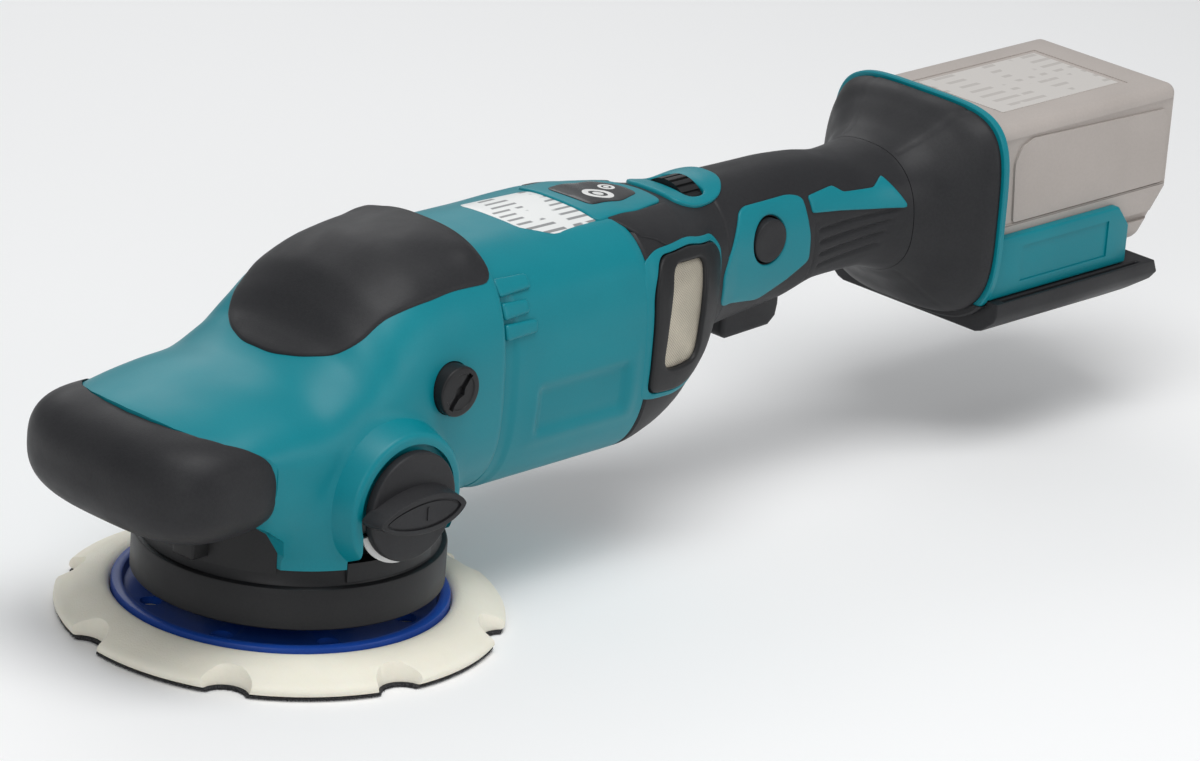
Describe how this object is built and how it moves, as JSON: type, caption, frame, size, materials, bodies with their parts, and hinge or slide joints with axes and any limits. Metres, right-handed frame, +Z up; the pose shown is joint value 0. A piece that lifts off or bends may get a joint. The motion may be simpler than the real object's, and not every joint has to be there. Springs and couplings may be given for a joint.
{
  "type": "dual action polisher",
  "caption": "Cordless dual action polisher with an orbiting foam-edged backing pad, a forced-rotation gear train, a slim handle and a slide-off battery pack.",
  "frame": {"origin": "middle of the footprint, level with the pad's hook face", "axes": "+X from the front grip to the battery, +Z up, the action knob faces -Y"},
  "size_m": [0.5476, 0.165, 0.142],
  "materials": {
    "teal_plastic": "satin moulded",
    "charcoal_rubber": "fine grain, matte",
    "black_plastic": "satin moulded",
    "cream_foam": "matte foamed urethane",
    "hook_fabric": "hook pile",
    "blue_plastic": "semi-gloss",
    "white_plastic": "satin",
    "battery_grey": "satin moulded",
    "steel": "ground",
    "cast_metal": "cast",
    "metal_mesh": "woven",
    "copper": "enamelled windings",
    "circuit_board": "satin",
    "cell_wrap": "shrink film"
  },
  "bodies": {
    "housing": {"ring_gear": "steel", "gear_case": "cast_metal", "spindle_bearing_lower": "steel", "spindle_bearing_upper": "steel", "motor_bearing_front": "steel", "motor_bearing_rear": "steel", "motor_stator": "copper", "head_cover": "teal_plastic", "head_top_pad": "charcoal_rubber", "front_grip": "charcoal_rubber", "skirt": "black_plastic", "knob_ring": "white_plastic", "side_plug_left": "black_plastic", "side_plug_right": "black_plastic", "housing_left": "teal_plastic", "housing_right": "teal_plastic", "motor_overmould": "charcoal_rubber", "handle_grip": "charcoal_rubber", "control_panel": "black_plastic", "dial_bezel": "teal_plastic", "switch_body": "black_plastic", "controller_board": "circuit_board", "dock_flange": "charcoal_rubber", "dock_rim": "teal_plastic", "dock_tray": "teal_plastic", "terminal_block": "black_plastic", "rear_bumper": "charcoal_rubber", "housing_screw_1": "steel", "housing_screw_2": "steel", "housing_screw_3": "steel", "housing_screw_4": "steel", "housing_screw_5": "steel"},
    "spindle": {"drive_spindle": "steel", "bevel_gear": "steel", "balance_weight": "cast_metal", "eccentric_bearing": "steel"},
    "motor": {"rotor": "cast_metal", "motor_shaft": "steel", "motor_fan": "black_plastic", "bevel_pinion": "steel"},
    "pad": {"pad_spindle": "steel", "pad_hub": "blue_plastic", "foam_pad": "cream_foam", "hook_face": "hook_fabric", "pad_bolt": "steel"},
    "knob": {"mode_knob": "charcoal_rubber"},
    "lock_pin": {"mode_lock_pin": "steel"},
    "trigger": {"trigger": "charcoal_rubber", "trigger_spring": "steel"},
    "lock_button": {"lock_button": "charcoal_rubber"},
    "dial": {"speed_dial": "black_plastic"},
    "battery": {"battery_upper": "battery_grey", "battery_lower": "battery_grey", "battery_cells": "cell_wrap"},
    "battery_release": {"battery_button": "charcoal_rubber"},
    "vent_left": {"vent_frame_left": "black_plastic", "vent_screen_left": "metal_mesh"},
    "vent_right": {"vent_frame_right": "black_plastic", "vent_screen_right": "metal_mesh"}
  },
  "joints": [
    {"name": "spindle_spin", "type": "hinge", "parent": "housing", "child": "spindle", "pos_m": [-0.17325, 0, 0.06], "axis": [0, 0, 1], "continuous": true},
    {"name": "motor_spin", "type": "hinge", "parent": "housing", "child": "motor", "pos_m": [-0.09325, 0, 0.0844], "axis": [1, 0, 0], "continuous": true},
    {"name": "pad_spin", "type": "hinge", "parent": "spindle", "child": "pad", "pos_m": [-0.176, 0, 0.02], "axis": [0, 0, 1], "continuous": true},
    {"name": "knob_turn", "type": "hinge", "parent": "housing", "child": "knob", "pos_m": [-0.17325, -0.06, 0.061], "axis": [0, 1, 0], "range_deg": [0, 180]},
    {"name": "lock_pin_slide", "type": "slide", "parent": "housing", "child": "lock_pin", "axis": [0, 0, -1], "range_m": [0, 0.0035]},
    {"name": "trigger_pull", "type": "slide", "parent": "housing", "child": "trigger", "axis": [0, 0, 1], "range_m": [0, 0.006], "stiffness_N_per_m": 400, "springref_m": -0.003},
    {"name": "lock_press", "type": "slide", "parent": "housing", "child": "lock_button", "axis": [0, 1, 0], "range_m": [0, 0.0025], "stiffness_N_per_m": 500, "springref_m": -0.002},
    {"name": "dial_turn", "type": "hinge", "parent": "housing", "child": "dial", "pos_m": [0.01725, 0, 0.1175], "axis": [1, 0, 0], "range_deg": [0, 270]},
    {"name": "battery_slide", "type": "slide", "parent": "housing", "child": "battery", "axis": [1, 0, 0], "range_m": [0, 0.09]},
    {"name": "battery_release_press", "type": "slide", "parent": "battery", "child": "battery_release", "axis": [0, 0, -1], "range_m": [0, 0.0035], "stiffness_N_per_m": 500, "springref_m": -0.002},
    {"name": "vent_left_off", "type": "slide", "parent": "housing", "child": "vent_left", "axis": [0, -1, 0], "range_m": [0, 0.012]},
    {"name": "vent_right_off", "type": "slide", "parent": "housing", "child": "vent_right", "axis": [0, 1, 0], "range_m": [0, 0.012]}
  ],
  "couplings": [
    {"joint": "motor_spin", "follows": "spindle_spin", "ratio": 3.0833},
    {"joint": "pad_spin", "follows": "spindle_spin", "ratio": -1.1136},
    {"joint": "lock_pin_slide", "follows": "knob_turn", "m_per_rad": 0.001114}
  ]
}
